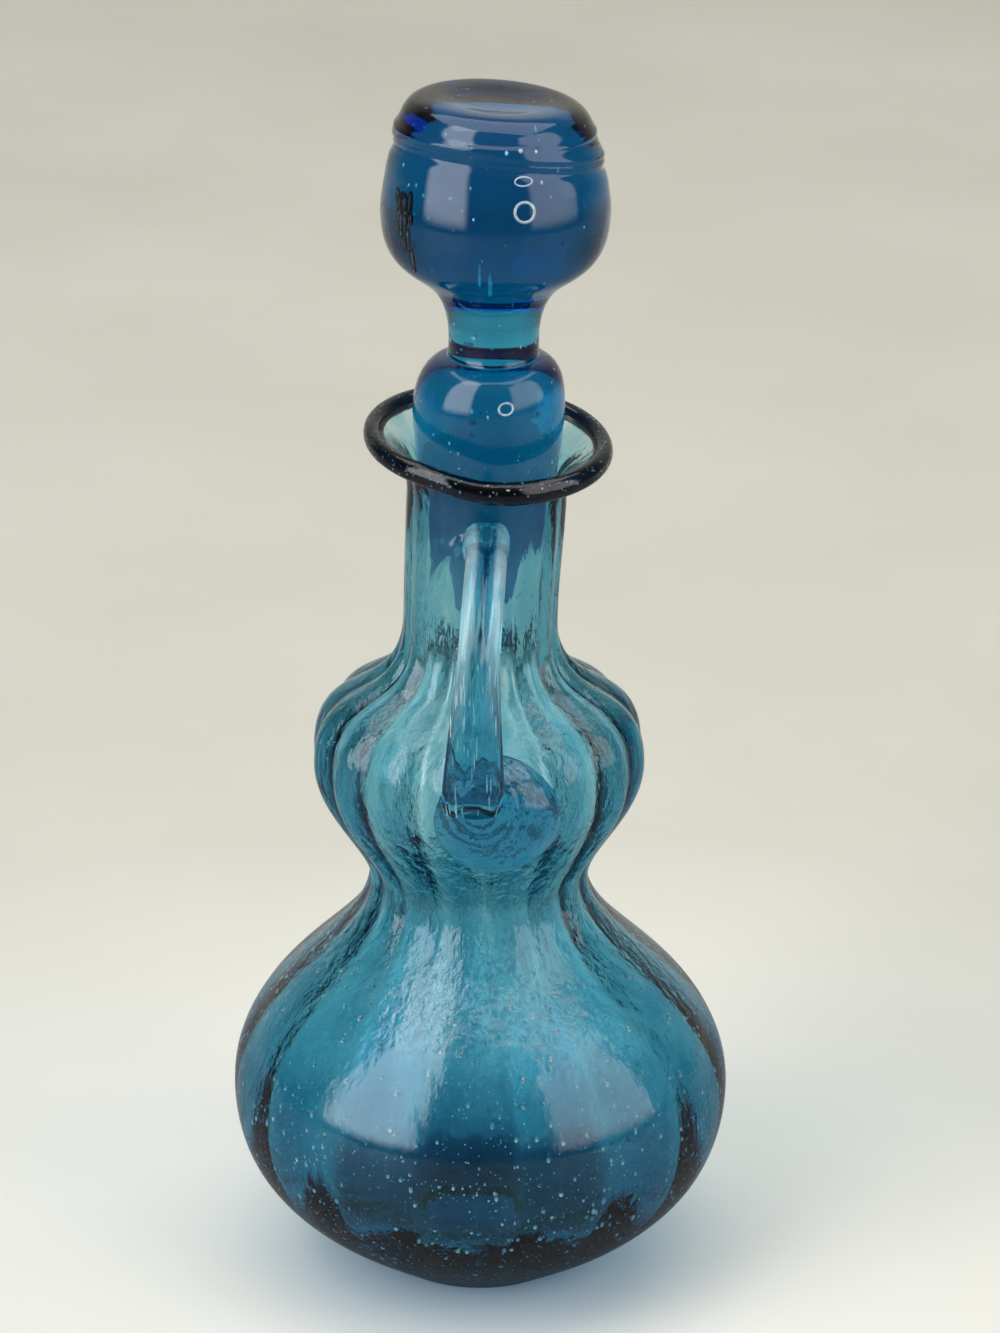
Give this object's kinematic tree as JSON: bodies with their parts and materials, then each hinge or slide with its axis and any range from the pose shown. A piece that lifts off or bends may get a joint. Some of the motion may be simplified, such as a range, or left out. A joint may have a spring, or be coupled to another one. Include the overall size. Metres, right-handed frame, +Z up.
{
  "type": "glass decanter",
  "caption": "Hand-blown ribbed double-bulb glass decanter with a rolled lip, a strap handle on a round gob and a solid lift-out stopper.",
  "frame": {"origin": "middle of the foot, on the surface that the bottle stands on", "axes": "+Z up along the bottle's axis, -Y towards the handle, +X to the right when the handle faces the viewer"},
  "size_m": [0.1188, 0.1188, 0.2889],
  "materials": {
    "vessel": "clear teal-blue glass with seed bubbles, gloss",
    "lip_wrap": "thick dark blue glass, gloss",
    "handle_gob": "clear bright blue glass, gloss",
    "handle_strap": "clear pale teal glass with drawn-out streaks, gloss",
    "stopper": "clear deep blue glass with a few bubbles, gloss"
  },
  "bodies": {
    "bottle": {"vessel": "vessel", "lip_wrap": "lip_wrap", "handle_gob": "handle_gob", "handle_strap": "handle_strap"},
    "stopper": {"stopper": "stopper"}
  },
  "joints": [
    {"name": "stopper_lift", "type": "slide", "parent": "bottle", "child": "stopper", "axis": [0, 0, 1], "range_m": [0, 0.065]}
  ]
}
